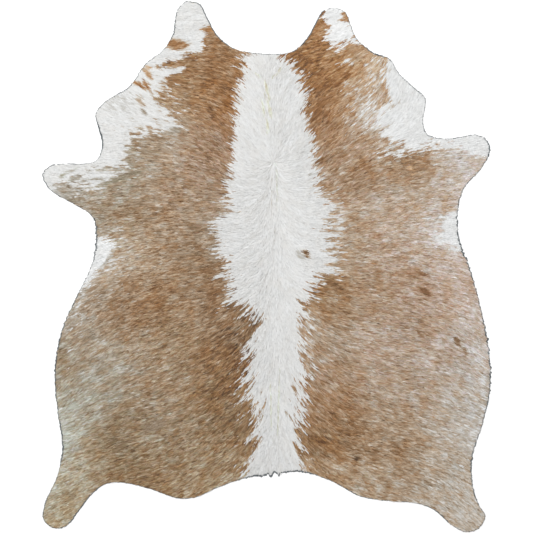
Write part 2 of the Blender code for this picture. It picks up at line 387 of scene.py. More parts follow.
# Places where the border is broken up into small spots: how far it strays there.
SPECKLED = rows_of("place across along wide long stray", [
    ("left throat", -0.400, 0.620, 0.080, 0.070, 0.016),
    ("left shoulder", -0.520, 0.530, 0.080, 0.035, 0.014),
    ("left elbow", -0.620, 0.400, 0.090, 0.035, 0.012),
    ("left foreleg", -0.780, 0.350, 0.080, 0.050, 0.014),
    ("left cheek", -0.420, 0.770, 0.060, 0.060, 0.010),
    ("right throat", 0.450, 0.610, 0.050, 0.060, 0.010),
    ("right ear", 0.270, 0.930, 0.040, 0.060, 0.010),
    ("right waist", 0.700, 0.130, 0.050, 0.060, 0.012),
    ("right of the blaze", 0.270, 0.110, 0.040, 0.090, 0.008),
])

# Marks of their own tone, most of them in the white hair. The shade on the left shoulder, the whorl's
# arcs and the creases of the spine are painted shade.
SPOTS = rows_of("mark across along long wide turn tone warmth cast", [
    ("spot in the blaze", 0.158, 0.052, 0.015, 0.011, -50, 0.80, 0.6, 0),
    ("its grey fringe", 0.138, 0.046, 0.022, 0.010, -50, 0.30, 0.0, 0),
    ("streak by the rump", 0.112, -0.488, 0.013, 0.006, -58, 0.62, 0.5, 0),
    ("fleck by the rump", -0.024, -0.505, 0.006, 0.005, 40, 0.50, 0.3, 0),
    ("fleck by the tail", 0.082, -0.592, 0.012, 0.004, -52, 0.45, 0.2, 0),
    ("second fleck by the tail", 0.096, -0.606, 0.012, 0.004, -48, 0.45, 0.2, 0),
    ("patch under the left ear", -0.362, 0.890, 0.047, 0.021, -6, 0.64, 0.85, 0),
    ("tip of the left ear", -0.292, 1.064, 0.013, 0.007, 10, 0.50, 0.9, 0),
    ("fleck by the left ear", -0.260, 0.951, 0.009, 0.005, 5, 0.55, 0.9, 0),
    ("edge of the left ear", -0.225, 0.952, 0.020, 0.010, 5, 0.58, 0.9, 0),
    ("faint streak, left cheek", -0.472, 0.798, 0.015, 0.007, -18, 0.36, 0.8, 0),
    ("long streak, left cheek", -0.474, 0.772, 0.028, 0.010, -52, 0.46, 0.8, 0),
    ("rust mark, left cheek", -0.520, 0.734, 0.022, 0.008, -14, 0.60, 0.95, 0),
    ("rust streak, left cheek", -0.500, 0.722, 0.020, 0.006, -48, 0.70, 0.95, 0),
    ("rust stripe, left cheek", -0.482, 0.728, 0.024, 0.006, -56, 0.64, 0.95, 0),
    # The next mark is painted shade: it greys the white of the left shoulder, which the key light
    # lights most.
    ("greyer hair, left shoulder", -0.590, 0.660, 0.055, 0.050, 0, 0.165, 0.0, 0),
    ("mark, left shoulder", -0.511, 0.664, 0.020, 0.008, -62, 0.42, 0.4, 0),
    ("mark beside it", -0.497, 0.650, 0.016, 0.007, -40, 0.40, 0.4, 0),
    ("grey streak, left shoulder", -0.492, 0.620, 0.018, 0.006, -50, 0.46, 0.1, 0),
    ("fleck, left shoulder", -0.472, 0.557, 0.013, 0.006, -25, 0.45, 0.5, 0),
    ("small spot, left shoulder", -0.540, 0.534, 0.009, 0.007, 0, 0.55, 0.4, 0),
    ("smaller spot, left shoulder", -0.512, 0.536, 0.009, 0.006, 0, 0.48, 0.6, 0),
    ("grey hair, left withers", -0.372, 0.542, 0.030, 0.014, 12, 0.46, 0.10, 0),
    ("slate streak, left elbow", -0.540, 0.372, 0.052, 0.008, 14, 0.55, 0.10, 0.5),
    ("slate streak below it", -0.615, 0.342, 0.050, 0.007, 16, 0.52, 0.08, 0.5),
    ("slate streak, left foreleg", -0.690, 0.350, 0.040, 0.005, 8, 0.42, 0.02, 0),
    ("grey flecks, left foreleg", -0.818, 0.366, 0.020, 0.007, 40, 0.40, 0.04, 0.3),
    ("upper grey flecks, left foreleg", -0.782, 0.384, 0.020, 0.006, 20, 0.34, 0.04, 0.3),
    ("lower grey flecks, left foreleg", -0.770, 0.352, 0.024, 0.007, 10, 0.40, 0.04, 0.3),
    ("grey edge of the left waist", -0.640, 0.025, 0.045, 0.004, 50, 0.36, 0.05, 0),
    ("fleck, left flank", -0.700, -0.090, 0.022, 0.009, 22, 0.54, 0.40, 0),
    ("second fleck, left flank", -0.664, -0.102, 0.016, 0.009, 24, 0.58, 0.35, 0),
    ("inner edge of the right ear", 0.205, 0.992, 0.022, 0.009, 68, 0.58, 0.95, 0),
    ("outer edge of the right ear", 0.318, 1.003, 0.020, 0.011, -62, 0.52, 0.9, 0),
    ("tip of that edge", 0.305, 0.989, 0.017, 0.005, 3, 0.55, 0.95, 0),
    ("rust blot, right neck", 0.321, 0.768, 0.020, 0.014, 20, 0.76, 0.95, 0),
    ("its tail", 0.292, 0.738, 0.026, 0.009, 34, 0.70, 0.95, 0),
    ("dark hair, right neck", 0.232, 0.660, 0.040, 0.016, 32, 0.72, 0.85, 0),
    ("fleck, right shoulder", 0.494, 0.786, 0.009, 0.006, 70, 0.26, 0.2, 0),
    ("lower fleck, right shoulder", 0.503, 0.641, 0.011, 0.006, 35, 0.26, 0.3, 0),
    ("outer fleck, right shoulder", 0.533, 0.657, 0.010, 0.006, 80, 0.24, 0.2, 0),
    ("golden tuft, right foreleg", 0.575, 0.394, 0.012, 0.006, -12, 0.29, 1.0, 0),
    ("faint streak in the blaze", 0.176, 0.369, 0.017, 0.004, 5, 0.25, 0.0, 0),
    # The whorl's arcs are painted shade: darker grey lines where the hair parts.
    ("left arc of the whorl", -0.036, 0.768, 0.016, 0.004, -40, 0.24, 0.3, 0.5),
    ("right arc of the whorl", 0.034, 0.768, 0.016, 0.004, 35, 0.24, 0.3, 0.5),
    ("upper end of that arc", 0.052, 0.786, 0.014, 0.004, 70, 0.22, 0.3, 0.5),
    ("yellow parting", 0.000, 0.715, 0.040, 0.006, -76, 0.14, 0.5, 1),
    ("its lower end", 0.012, 0.630, 0.036, 0.006, -74, 0.14, 0.45, 1),
    ("second yellow streak", -0.014, 0.640, 0.030, 0.006, -80, 0.135, 0.4, 1),
    ("yellow streak at the withers", 0.004, 0.560, 0.028, 0.005, -86, 0.14, 0.5, 1),
    # The creases of the spine are painted shade: darker grey lines where the hair parts along it.
    ("left crease of the spine", 0.022, 0.330, 0.090, 0.003, 89, 0.155, 0.1, 0),
    ("right crease of the spine", 0.042, 0.330, 0.080, 0.003, 91, 0.15, 0.1, 0.5),
    ("crease at the loin", 0.032, 0.110, 0.060, 0.003, 88, 0.165, 0.0, 0),
    ("crease at the rump", 0.048, -0.560, 0.110, 0.003, 88, 0.18, 0.3, 1),
    ("left crease at the rump", 0.018, -0.560, 0.100, 0.003, 92, 0.165, 0.3, 1),
    ("mark, right flank", 0.764, -0.300, 0.020, 0.010, -60, 0.74, 0.45, -0.3),
    ("lower mark, right flank", 0.798, -0.341, 0.015, 0.008, -60, 0.66, 0.4, -0.3),
    ("rust mark, right flank", 0.638, -0.100, 0.024, 0.009, -28, 0.74, 0.65, -0.7),
    ("upper rust mark, right flank", 0.622, -0.030, 0.022, 0.009, -10, 0.70, 0.65, -0.7),
    ("mark, right belly", 0.618, -0.272, 0.018, 0.008, -50, 0.66, 0.5, -0.4),
    ("spot, right thigh", 0.361, -0.770, 0.010, 0.008, 0, 0.94, 0.4, 0),
    ("dark hair, right seat", 0.655, -0.870, 0.018, 0.009, -35, 0.60, 0.3, 0),
    ("dark hair, right loin", 0.262, -0.066, 0.030, 0.014, -30, 0.74, 0.65, 0.4),
    ("dark hair, right chine", 0.218, 0.425, 0.034, 0.010, 35, 0.74, 0.65, -0.2),
    ("dark hair, right withers", 0.196, 0.604, 0.036, 0.011, 42, 0.78, 0.85, 0),
    ("dark hair, left loin", -0.255, -0.020, 0.045, 0.012, 12, 0.68, 0.6, 0),
    ("lower dark hair, left loin", -0.240, -0.075, 0.040, 0.010, 16, 0.66, 0.6, 0),
    ("grey hair, left thigh", -0.450, -0.640, 0.050, 0.018, 22, 0.58, 0.25, 0),
    ("dark streak, left thigh", -0.555, -0.702, 0.040, 0.007, 25, 0.66, 0.3, 0.3),
    ("second dark streak, left thigh", -0.600, -0.735, 0.030, 0.007, 25, 0.66, 0.35, 0.4),
    ("grey streak, left hock", -0.770, -0.735, 0.026, 0.009, 14, 0.42, 0.05, 0.3),
])

# Tone of the brown hair from place to place: depth from white to darkest, warmth from ash to gold,
# and cast from rosy, -1, to olive, 1.
TONES = rows_of("place across along depth warmth cast", [
    ("left nape", -0.245, 0.885, 0.60, 0.66, 0),
    ("left of the blaze, nape", -0.130, 0.850, 0.58, 0.66, 0),
    ("left ear root", -0.345, 0.770, 0.62, 0.66, 0.3),
    ("left neck", -0.215, 0.760, 0.77, 0.76, -0.15),
    ("left neck, lower", -0.215, 0.665, 0.59, 0.84, 0),
    ("left throat", -0.345, 0.670, 0.58, 0.72, 0.2),
    ("left throat, grey", -0.400, 0.580, 0.46, 0.24, 0.2),
    ("left withers", -0.225, 0.540, 0.61, 0.50, -0.5),
    ("left shoulder blade", -0.380, 0.480, 0.48, 0.42, -0.2),
    ("left shoulder", -0.490, 0.425, 0.54, 0.32, 0.2),
    ("left elbow, grey", -0.590, 0.350, 0.40, 0.10, 0.2),
    ("left chine", -0.240, 0.380, 0.57, 0.42, -0.5),
    ("left back, upper", -0.280, 0.275, 0.47, 0.42, -0.1),
    ("left ribs, upper", -0.400, 0.290, 0.54, 0.48, -0.15),
    ("left elbow", -0.660, 0.250, 0.55, 0.25, 0.1),
    ("left foreleg", -0.780, 0.340, 0.45, 0.05, 0),
    ("left brisket", -0.570, 0.190, 0.58, 0.44, 0.25),
    ("left back", -0.260, 0.190, 0.56, 0.42, -0.1),
    ("left ribs", -0.400, 0.130, 0.53, 0.48, 0),
    ("left of the blaze, rib", -0.225, 0.070, 0.55, 0.30, 0),
    ("left waist", -0.570, 0.065, 0.40, 0.40, 0.1),
    ("left waist, pale", -0.640, 0.000, 0.26, 0.32, 0.1),
    ("left loin", -0.330, -0.040, 0.55, 0.52, 0.1),
    ("left flank, upper", -0.590, -0.055, 0.46, 0.45, 0),
    ("left flank edge", -0.715, -0.140, 0.40, 0.19, 0),
    ("left belly, rust", -0.520, -0.145, 0.75, 0.70, 0),
    ("left belly, rust, outer", -0.595, -0.145, 0.74, 0.70, 0),
    ("left belly, upper", -0.590, -0.245, 0.45, 0.40, 0.1),
    ("left of the waist", -0.215, -0.150, 0.54, 0.54, -0.1),
    ("left of the blaze, loin", -0.220, -0.030, 0.64, 0.50, 0),
    ("left flank, lower", -0.730, -0.260, 0.44, 0.26, 0),
    ("left belly edge", -0.830, -0.350, 0.54, 0.30, 0.5),
    ("left hip", -0.135, -0.225, 0.76, 0.54, 0.1),
    ("left haunch, upper", -0.380, -0.290, 0.58, 0.50, 0.3),
    ("left belly", -0.660, -0.350, 0.42, 0.12, 0.25),
    ("left haunch, pale", -0.335, -0.430, 0.47, 0.42, 0.25),
    ("left rump", -0.215, -0.430, 0.79, 0.76, 0.3),
    ("left haunch", -0.450, -0.500, 0.53, 0.40, 0.2),
    ("left stifle", -0.730, -0.500, 0.45, 0.22, 0.45),
    ("left thigh edge", -0.830, -0.620, 0.31, 0.04, 0.7),
    ("left rump, lower", -0.200, -0.600, 0.66, 0.57, 0.5),
    ("left of the blaze, low", -0.115, -0.730, 0.65, 0.60, 0.5),
    ("left thigh", -0.560, -0.660, 0.59, 0.34, 0.4),
    ("left thigh, back", -0.350, -0.700, 0.57, 0.42, 0.35),
    ("left thigh, pale", -0.465, -0.740, 0.52, 0.36, 0.5),
    ("left hock edge", -0.810, -0.810, 0.26, 0.18, 0.8),
    ("left hock", -0.700, -0.840, 0.56, 0.52, 0.55),
    ("left hock, dark", -0.590, -0.765, 0.65, 0.48, 0.75),
    ("left seat", -0.460, -0.850, 0.68, 0.62, 0.5),
    ("left seat, pale", -0.340, -0.840, 0.50, 0.52, 0.55),
    ("left of the tail", -0.210, -0.820, 0.51, 0.50, 0.6),
    ("left hind leg", -0.800, -0.960, 0.41, 0.44, 0.9),
    ("right of the blaze, nape", 0.140, 0.860, 0.76, 1.0, 0.3),
    ("right nape", 0.270, 0.850, 0.54, 0.84, 0.1),
    ("right ear root", 0.400, 0.830, 0.43, 0.84, 0.2),
    ("right neck", 0.245, 0.755, 0.74, 1.0, 0.2),
    ("right neck, lower", 0.255, 0.660, 0.64, 0.84, 0),
    ("right throat", 0.400, 0.720, 0.40, 0.66, -0.1),
    ("right throat, lower", 0.400, 0.580, 0.28, 0.40, -0.1),
    ("right withers", 0.265, 0.540, 0.57, 0.62, -0.25),
    ("right shoulder blade", 0.385, 0.445, 0.59, 0.58, -0.15),
    ("right shoulder", 0.585, 0.380, 0.60, 0.60, 0),
    ("right foreleg", 0.780, 0.410, 0.28, 0.36, -0.3),
    ("right chine", 0.300, 0.370, 0.50, 0.50, -0.2),
    ("right ribs, upper", 0.500, 0.250, 0.34, 0.46, -0.2),
    ("right elbow", 0.700, 0.290, 0.27, 0.32, -0.3),
    ("right back", 0.350, 0.160, 0.47, 0.50, -0.1),
    ("right of the blaze, rib", 0.285, 0.060, 0.44, 0.44, 0),
    ("right ribs", 0.520, 0.080, 0.41, 0.45, -0.45),
    ("right waist", 0.680, 0.070, 0.27, 0.38, -0.4),
    ("right loin, golden", 0.250, -0.120, 0.73, 0.74, 0.2),
    ("right loin", 0.440, -0.080, 0.48, 0.52, -0.25),
    ("right flank, upper", 0.620, -0.070, 0.49, 0.50, -0.6),
    ("right flank edge", 0.760, -0.100, 0.33, 0.46, -0.6),
    ("right of the waist", 0.250, -0.345, 0.54, 0.42, -0.1),
    ("right of the loin", 0.270, -0.225, 0.40, 0.38, -0.1),
    ("right haunch, upper", 0.440, -0.290, 0.43, 0.42, -0.4),
    ("right belly", 0.640, -0.310, 0.46, 0.40, -0.45),
    ("right belly, outer", 0.745, -0.380, 0.35, 0.18, -0.4),
    ("right belly edge", 0.860, -0.290, 0.32, 0.32, -0.3),
    ("right rump, pale", 0.250, -0.420, 0.50, 0.48, -0.3),
    ("right rump", 0.250, -0.550, 0.59, 0.60, -0.2),
    ("right haunch", 0.500, -0.500, 0.43, 0.40, -0.25),
    ("right haunch, pale", 0.620, -0.430, 0.37, 0.38, -0.35),
    ("right haunch, lower", 0.620, -0.560, 0.50, 0.48, -0.1),
    ("right stifle", 0.740, -0.500, 0.36, 0.26, -0.15),
    ("right thigh edge", 0.870, -0.600, 0.32, 0.14, -0.1),
    ("right rump, lower", 0.250, -0.720, 0.70, 0.64, 0.2),
    ("right thigh, pale", 0.500, -0.640, 0.45, 0.48, 0),
    ("right thigh, back", 0.400, -0.680, 0.58, 0.60, 0),
    ("right thigh", 0.500, -0.740, 0.61, 0.53, 0),
    ("right thigh, outer", 0.730, -0.630, 0.32, 0.26, -0.1),
    ("right hock", 0.740, -0.740, 0.34, 0.28, 0),
    ("right of the tail", 0.250, -0.850, 0.47, 0.52, 0.1),
    ("right seat", 0.400, -0.860, 0.42, 0.46, 0.1),
    ("right seat, outer", 0.610, -0.840, 0.50, 0.42, 0),
    ("right seat edge", 0.620, -0.940, 0.34, 0.34, 0),
    ("right hind leg", 0.820, -0.950, 0.32, 0.24, 0),
])

# Colours of the hair in display values out of 255, ash and golden, from white to darkest.
HAIR_COLOURS = rows_of("depth ash golden", [
    (0.00, (235, 236, 236), (236, 234, 229)),
    (0.08, (217, 218, 218), (223, 215, 203)),
    (0.22, (193, 192, 189), (210, 189, 163)),
    (0.34, (173, 169, 160), (198, 165, 127)),
    (0.43, (157, 150, 138), (185, 146, 105)),
    (0.51, (143, 135, 120), (172, 130, 87)),
    (0.60, (129, 119, 101), (159, 113, 65)),
    (0.69, (114, 102, 82), (142, 96, 50)),
    (0.79, (96, 83, 63), (123, 79, 34)),
    (0.89, (76, 65, 48), (101, 60, 24)),
    (1.00, (53, 46, 37), (75, 44, 18)),
])

# Stretches of the cut edge where more of the leather shows beyond the hair, and how rough they are.
# There the wider band of dark leather also stands in for the shadow along the rim: painted shadow.
EDGES = rows_of("stretch across along reach shown rough", [
    ("left ear", -0.370, 0.970, 0.060, 0.0046, 1.5),
    ("left shoulder", -0.570, 0.710, 0.080, 0.0028, 0.6),
    ("left cheek", -0.660, 0.520, 0.075, 0.0070, 0.7),
    ("left foreleg", -0.880, 0.360, 0.090, 0.0042, 1.0),
    ("left waist", -0.695, 0.110, 0.090, 0.0076, 2.0),
    ("left flank", -0.780, -0.140, 0.130, 0.0030, 1.2),
    ("left belly", -0.850, -0.380, 0.260, 0.0048, 1.5),
    ("left thigh", -0.820, -0.680, 0.140, 0.0054, 1.4),
    ("left hock", -0.880, -0.960, 0.110, 0.0036, 0.9),
    ("tail root", 0.010, -0.838, 0.110, 0.0072, 2.0),
    ("right of the tail root", 0.140, -0.825, 0.060, 0.0062, 1.6),
    ("right hock", 0.840, -0.820, 0.160, 0.0050, 1.5),
    ("right belly", 0.890, -0.360, 0.300, 0.0052, 1.8),
    ("right flank", 0.790, 0.080, 0.200, 0.0058, 2.0),
    ("right foreleg", 0.890, 0.460, 0.080, 0.0044, 1.3),
    ("right armpit", 0.660, 0.540, 0.060, 0.0032, 0.6),
    ("right shoulder", 0.600, 0.700, 0.080, 0.0026, 0.7),
    ("right jaw", 0.440, 0.860, 0.070, 0.0050, 1.5),
])
EDGE_SHOWS = 0.0018         # how much leather shows elsewhere
EDGE_ROUGH = 0.45

# Dents of the edge at the root of the tail, and the two points between them, which stick out.
TAIL_DENTS = rows_of("dent across wide deep", [
    ("left dent", 0.006, 0.0050, 0.0070), ("left point", 0.019, 0.0042, -0.0080),
    ("right dent", 0.034, 0.0050, 0.0085), ("right point", 0.048, 0.0042, -0.0085),
])


def table_columns(table, *names):
    """The named columns of one of the tables above, as arrays."""
    return [np.array([row[name] for row in table], dtype=float) for name in names]


def smooth_step(value):
    """0 below 0, 1 above 1, and an easy slope between."""
    value = np.clip(value, 0, 1)
    return value * value * (3 - 2 * value)


def between(grid, i, j, down, right):
    """A grid's values between the places at i, j and the next ones."""
    top = grid[i, j] * (1 - right) + grid[i, j + 1] * right
    low = grid[i + 1, j] * (1 - right) + grid[i + 1, j + 1] * right
    return top * (1 - down) + low * down


# Noise and hair direction.

class Lattice:
    """Smooth random values over the hide, the same in every run."""

    def __init__(self, seed, cell):
        self.cell = cell
        self.values = np.random.default_rng(seed).standard_normal(
            [int(2 * half / cell) + 4 for half in reversed(FIELD_HALF)]
        )

    def at(self, across, along):
        """Values at places on the hide."""
        column = (across + FIELD_HALF[0]) / self.cell
        row = (along + FIELD_HALF[1]) / self.cell
        i = np.clip(row.astype(int), 0, self.values.shape[0] - 2)
        j = np.clip(column.astype(int), 0, self.values.shape[1] - 2)
        return between(self.values, i, j, smooth_step(row - i), smooth_step(column - j))

    def smeared(self, across, along, flow, reach, steps):
        """Values smeared along the hair to either side of each place. About unit spread."""
        total = np.zeros_like(across)
        for share in np.linspace(-1, 1, steps):
            total += self.at(across + share * reach * flow[0], along + share * reach * flow[1])
        return total / total.std()


LATTICES = {row["noise"]: Lattice(row["seed"], row["cell"]) for row in NOISES}
BURRS = Lattice(BURR_SEED, BURR_CELL)


def coat_noises(across, along, flow):
    """Every noise of the coat at places on the hide."""
    noises = {}
    for row in NOISES:
        lattice = LATTICES[row["noise"]]
        if row["steps"]:
            values = lattice.smeared(across, along, flow, row["smear"], row["steps"])
        else:
            values = lattice.at(across, along)
        noises[row["noise"]] = values
    return noises


def blend(noises, weights):
    """Sum of the noises, each with its weight."""
    return sum(weight * noises[name] for name, weight in weights.items())


def table_between(rows, stations, values, row_at, station_at):
    """Values read from a table between its rows and columns, in straight lines."""
    order = np.argsort(rows)
    rows, values = rows[order], values[order]
    i = np.clip(np.searchsorted(rows, row_at) - 1, 0, len(rows) - 2)
    j = np.clip(np.searchsorted(stations, station_at) - 1, 0, len(stations) - 2)
    down = np.clip((row_at - rows[i]) / (rows[i + 1] - rows[i]), 0, 1)
    right = np.clip((station_at - stations[j]) / (stations[j + 1] - stations[j]), 0, 1)
    return between(values, i, j, down, right)


def hair_flow(across, along):
    """Unit direction of the hair: out from the spine and away from the parting at the withers."""
    stations = np.array(list(FLOW_OUT.values()))
    rows, middle = table_columns(SPINE, "along", "across")
    offset = across - np.interp(along, rows, middle)
    out = np.abs(offset)
    flows = []
    for table, side in ((FLOW_RIGHT, 1), (FLOW_LEFT, -1)):
        (rows,) = table_columns(table, "along")
        angles = np.radians(np.stack(table_columns(table, *FLOW_OUT), axis=1))
        flows.append([
            side * table_between(rows, stations, np.cos(angles), along, out),
            side * table_between(rows, stations, np.sin(angles), along, out),
        ])
    right = smooth_step(0.5 + offset / SPINE_BLEND)
    x, y = (right * flows[0][i] + (1 - right) * flows[1][i] for i in (0, 1))
    length = np.maximum(np.hypot(x, y), NOT_ZERO)
    return np.stack([x / length, y / length])


# The cut edge.

def ring_area(ring):
    """Signed area inside a closed ring of points, positive when it runs anticlockwise."""
    after = np.roll(ring, -1, axis=0)
    return 0.5 * float(np.sum(ring[:, 0] * after[:, 1] - after[:, 0] * ring[:, 1]))


def cad_outline(solid):
    """Points of the CAD solid's silhouette, anticlockwise round the hide."""
    mesh = bmesh.new()
    mesh.from_mesh(solid)
    bmesh.ops.remove_doubles(mesh, verts=mesh.verts, dist=SAME_POINT)
    mesh.normal_update()
    beside = {}
    for edge in mesh.edges:
        sides = sorted(face.normal.z for face in edge.link_faces)
        if len(sides) == 2 and sides[0] < -LEVEL and sides[1] > LEVEL:
            a, b = edge.verts
            beside.setdefault(a.index, []).append(b.index)
            beside.setdefault(b.index, []).append(a.index)
    mesh.verts.ensure_lookup_table()
    first = min(beside)
    order = [first, beside[first][0]]
    while order[-1] != first:
        ahead = [i for i in beside[order[-1]] if i != order[-2]]
        order.append(ahead[0])
    ring = np.array([mesh.verts[i].co[:2] for i in order[:-1]])
    mesh.free()
    return ring if ring_area(ring) > 0 else ring[::-1]


def smooth_ring(ring, step):
    """A smooth closed curve through the points of a ring, with even spacing."""
    before, after = np.roll(ring, 1, axis=0), np.roll(ring, -1, axis=0)
    beyond = np.roll(ring, -2, axis=0)
    pieces = []
    for t in np.linspace(0, 1, CURVE_STEPS, endpoint=False):
        pieces.append(0.5 * (
            2 * ring + (after - before) * t + (2 * before - 5 * ring + 4 * after - beyond) * t ** 2
            + (3 * ring - before - 3 * after + beyond) * t ** 3
        ))
    dense = np.stack(pieces, axis=1).reshape(-1, 2)
    dense = np.vstack([dense, dense[:1]])
    run = np.concatenate([[0.0], np.cumsum(np.hypot(*np.diff(dense, axis=0).T))])
    places = np.linspace(0, run[-1], int(run[-1] / step), endpoint=False)
    return np.stack([np.interp(places, run, dense[:, i]) for i in (0, 1)], axis=1)


def outward_normals(ring):
    """Unit directions out of an anticlockwise ring."""
    ahead = np.roll(ring, -1, axis=0) - np.roll(ring, 1, axis=0)
    ahead /= np.hypot(*ahead.T)[:, None]
    return np.stack([ahead[:, 1], -ahead[:, 0]], axis=1)


def edge_character(ring):
    """How much leather shows beyond the hair along the cut edge, and how rough it is."""
    shown = np.full(len(ring), EDGE_SHOWS)
    rough = np.full(len(ring), EDGE_ROUGH)
    for row in EDGES:
        away = np.hypot(ring[:, 0] - row["across"], ring[:, 1] - row["along"]) / row["reach"]
        near = np.exp(-away ** 2)
        shown = np.maximum(shown, row["shown"] * near)
        rough = np.maximum(rough, row["rough"] * near)
    return shown, rough


def cut_roughly(ring, rough):
    """The outline with the small nicks and burrs of the knife, and the dents at the tail."""
    nicks = RIM_NICKS * (NICK_MEAN + LATTICES["wisp"].at(*ring.T))
    nicks *= np.minimum(rough + NICK_LEAST, NICK_MOST)
    burrs = RIM_BURRS * rough * np.clip(BURRS.at(*ring.T) - BURR_FLOOR, 0, BURR_PEAK)
    inward = nicks - burrs
    for row in TAIL_DENTS:
        away = (ring[:, 0] - row["across"]) / row["wide"]
        inward += row["deep"] * np.exp(-away ** 2) * (ring[:, 1] < TAIL_ALONG)
    return ring - inward[:, None] * outward_normals(ring)


class Rim:
    """The cut edge of the hide, and how far places are inside it."""

    def __init__(self, ring, normals, shown, rough):
        self.ring = ring
        self.normals = normals
        self.rough = rough
        self.reveal = np.clip(shown + REVEAL_BURRS * BURRS.at(*ring.T) * rough, *REVEAL)
        self.tree = KDTree(len(ring))
        for i, (x, y) in enumerate(ring):
            self.tree.insert((x, y, 0.0), i)
        self.tree.balance()

    def depth_of(self, places):
        """How far each place lies inside the rim, and the rim's nearest point."""
        find = self.tree.find
        nearest = np.array([find((x, y, 0.0))[1] for x, y in places.tolist()], dtype=int)
        away = places - self.ring[nearest]
        side = np.sum(away * self.normals[nearest], axis=1)
        distance = np.hypot(*away.T)
        return np.where(side < 0, distance, -distance), nearest


# The pattern of the coat.

def inside_distance(across, along, ring):
    """Distance into a closed ring of landmarks, negative outside it."""
    best = np.full(len(across), np.inf)
    inside = np.zeros(len(across), dtype=bool)
    for i, (bx, by) in enumerate(ring):
        ax, ay = ring[i - 1]
        dx, dy = bx - ax, by - ay
        t = np.clip(((across - ax) * dx + (along - ay) * dy) / (dx * dx + dy * dy), 0, 1)
        best = np.minimum(best, np.hypot(across - ax - t * dx, along - ay - t * dy))
        if by != ay:
            crossing = ax + (along - ay) * dx / (by - ay)
            inside ^= ((ay > along) != (by > along)) & (across < crossing)
    return np.where(inside, best, -best)


def soft_spot(across, along, row):
    """1 in the middle of a soft place, and less the further out."""
    away = ((across - row["across"]) / row["wide"]) ** 2
    away += ((along - row["along"]) / row["long"]) ** 2
    return np.exp(-0.5 * away)


def brown_tone(across, along, noises, chance):
    """Depth, warmth and cast of the brown hair, before any white is mixed in."""
    near = np.zeros_like(across)
    totals = {name: np.zeros_like(across) for name in ("depth", "warmth", "cast")}
    for place in TONES:
        away = (across - place["across"]) ** 2 + (along - place["along"]) ** 2
        away /= TONE_REACH ** 2
        weight = np.exp(-0.5 * away) + FAR_WEIGHT / (1 + away)
        near += weight
        for name, total in totals.items():
            total += weight * place[name]
    depth, warmth, cast = (total / near for total in totals.values())
    grain = blend(noises, DEPTH_GRAIN) + LOCK_DEPTH * (chance[0] + LOCK_SKEW * (chance[0] ** 2 - 1))
    depth += grain * np.clip(GRAIN_BASE + GRAIN_GAIN * depth, *GRAIN_RANGE)
    warmth += blend(noises, WARMTH_GRAIN) + LOCK_WARMTH * chance[1]
    return depth, warmth, cast


def white_hair(across, along, flow, noises, chance):
    """Share of white in the hair at places on the hide, and how deep the tone of that white is."""
    stray = np.zeros_like(across)
    for row in SPECKLED:
        stray = np.maximum(stray, row["stray"] * soft_spot(across, along, row))
    carry = np.interp(along, *table_columns(RAGGED, "along", "share")) * blend(noises, CARRY_GRAIN)
    weave = blend(noises, WEAVE_GRAIN)
    white = np.full(len(across), FAR_OUT)
    pale = np.full(len(across), PLAIN_PALE)
    for part in WHITES:
        moved = part["ragged"] * carry
        into = inside_distance(across - moved * flow[0], along - moved * flow[1], part["ring"])
        into += part["woven"] * weave + LOCK_STRAY * chance[2] + stray * noises["blotch"]
        here = 0.5 + into / part["soft"]
        better = here > white
        white = np.where(better, here, white)
        pale = np.where(better, part["pale"], pale)
    share = smooth_step(white)
    for roan in ROANS:
        more = roan["white"] * soft_spot(across, along, roan)
        share = share + np.where(more > 0, 1 - share, share) * more
    mixed = share + blend(noises, MIX_GRAIN) + LOCK_MIX * chance[3]
    picked = smooth_step((mixed - 0.5) / MIX_WIDTH + 0.5)
    picked = np.where(share < ALL_BROWN, 0.0, np.where(share > ALL_WHITE, 1.0, picked))
    return picked, pale + blend(noises, PALE_GRAIN) + LOCK_PALE * chance[0]


def coat_tone(across, along, chance):
    """Depth, warmth and cast of the hair at places on the hide. Chance makes each lock its own."""
    flow = hair_flow(across, along)
    noises = coat_noises(across, along, flow)
    depth, warmth, cast = brown_tone(across, along, noises, chance)
    white, pale = white_hair(across, along, flow, noises, chance)
    depth = depth + white * (pale - depth)
    warmth = warmth + white * (WHITE_WARMTH + MOTTLE_WARMTH * noises["mottle"] - warmth)
    cast = cast * (1 - white)
    fray = MARK_FRAY * noises["strand"] + LOCK_MARK * chance[2]
    grain = MARK_GRAIN * (noises["strand"] + chance[0])
    for spot in SPOTS:
        turn = radians(spot["turn"])
        dx, dy = across - spot["across"], along - spot["along"]
        ahead = (dx * cos(turn) + dy * sin(turn)) / spot["long"]
        aside = (dy * cos(turn) - dx * sin(turn)) / spot["wide"]
        mark = smooth_step(MARK_MIDDLE - MARK_FALL * np.hypot(ahead, aside) + fray)
        depth = depth + mark * (spot["tone"] + grain - depth)
        warmth = warmth + mark * (spot["warmth"] - warmth)
        cast = cast + mark * (spot["cast"] - cast)
    return np.clip(depth, 0.0, 1.0), np.clip(warmth, 0.0, 1.0), np.clip(cast, -1.0, 1.0)


# Materials.

def linear(display):
    """A display colour out of 255 as the linear colour that Blender uses."""
    return tuple(
        (c / 255 / 12.92 if c <= 10 else ((c / 255 + 0.055) / 1.055) ** 2.4) for c in display
    ) + (1.0,)


def set_inputs(tree, node, inputs):
    """Set a node's inputs, each to a value or to another node's output."""
    for name, value in inputs.items():
        if isinstance(value, bpy.types.NodeSocket):
            tree.links.new(value, node.inputs[name])
        else:
            node.inputs[name].default_value = value


def add_node(tree, kind, inputs=(), **settings):
    """One node with its settings and inputs."""
    node = tree.nodes.new(kind)
    for name, value in settings.items():
        setattr(node, name, value)
    set_inputs(tree, node, dict(inputs))
    return node


def new_material(name):
    """An empty node material, with its tree and shader."""
    material = bpy.data.materials.new(name)
    material.use_nodes = True
    return material, material.node_tree, material.node_tree.nodes["Principled BSDF"]


